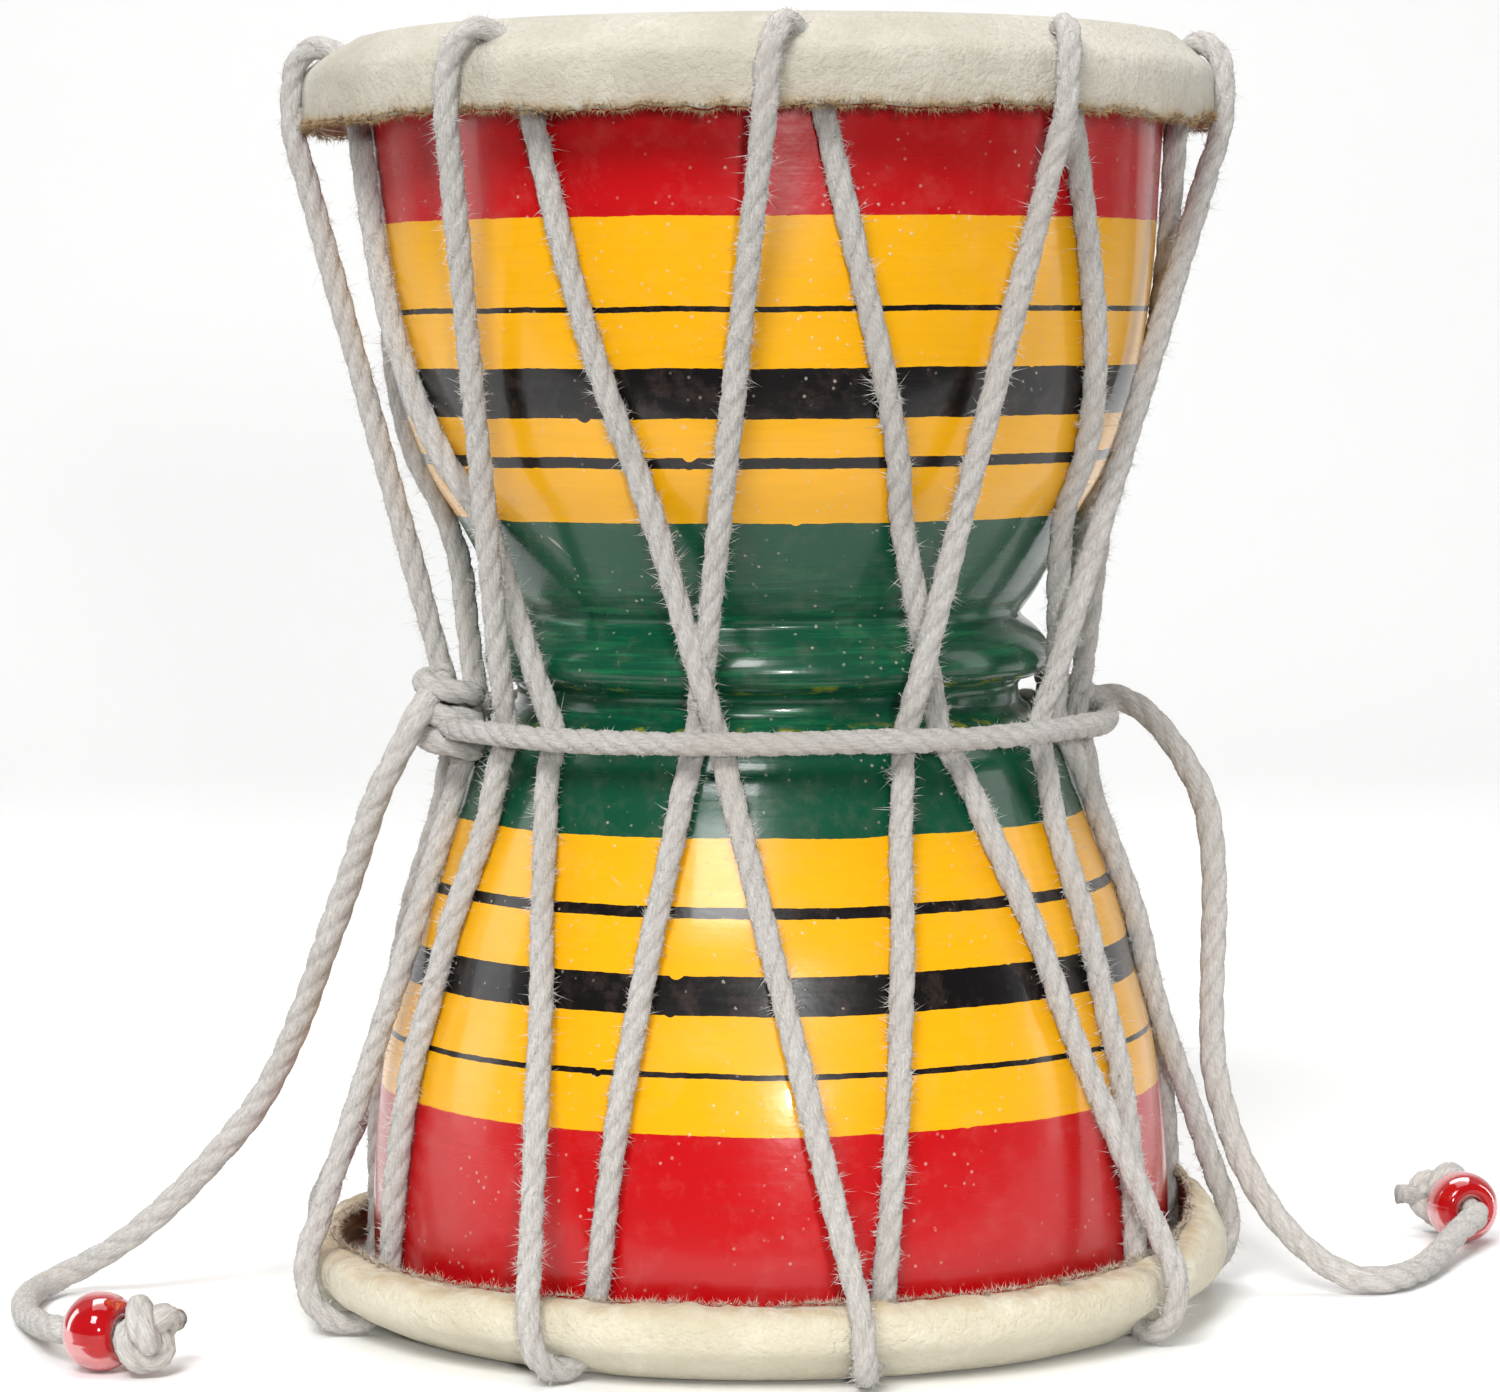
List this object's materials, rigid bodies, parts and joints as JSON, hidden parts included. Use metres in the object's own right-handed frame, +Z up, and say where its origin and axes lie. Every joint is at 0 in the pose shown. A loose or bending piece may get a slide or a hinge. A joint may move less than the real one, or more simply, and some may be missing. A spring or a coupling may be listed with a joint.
{
  "type": "damaru drum",
  "caption": "Hourglass hand drum of turned wood with painted bands, rope-laced hide heads and bead strikers hanging on cords from the waist.",
  "frame": {"origin": "centre of the lower head's flat bearing face, which the drum stands on", "axes": "+Z up the drum's axis to the upper head, -Y towards the front, +X to the right seen from the front"},
  "size_m": [0.1848, 0.1173, 0.1529],
  "materials": {
    "painted_wood": "gloss enamel in red, yellow, green and black bands",
    "cane": "bare, dark with age",
    "grey_hide": "raw suede hide, mottled grey",
    "cream_hide": "raw suede hide, cream",
    "cotton_cord": "three-strand twisted cotton, fuzzy, greyed",
    "red_plastic": "translucent, glossy"
  },
  "bodies": {
    "root": {"shell": "painted_wood", "top_hoop": "cane", "bottom_hoop": "cane", "top_head": "grey_hide", "bottom_head": "cream_hide", "lacing": "cotton_cord", "waist_cord": "cotton_cord", "striker_cord_left": "cotton_cord", "striker_cord_right": "cotton_cord", "bead_left": "red_plastic", "bead_right": "red_plastic", "end_knot_left": "cotton_cord", "end_knot_right": "cotton_cord"}
  },
  "joints": []
}
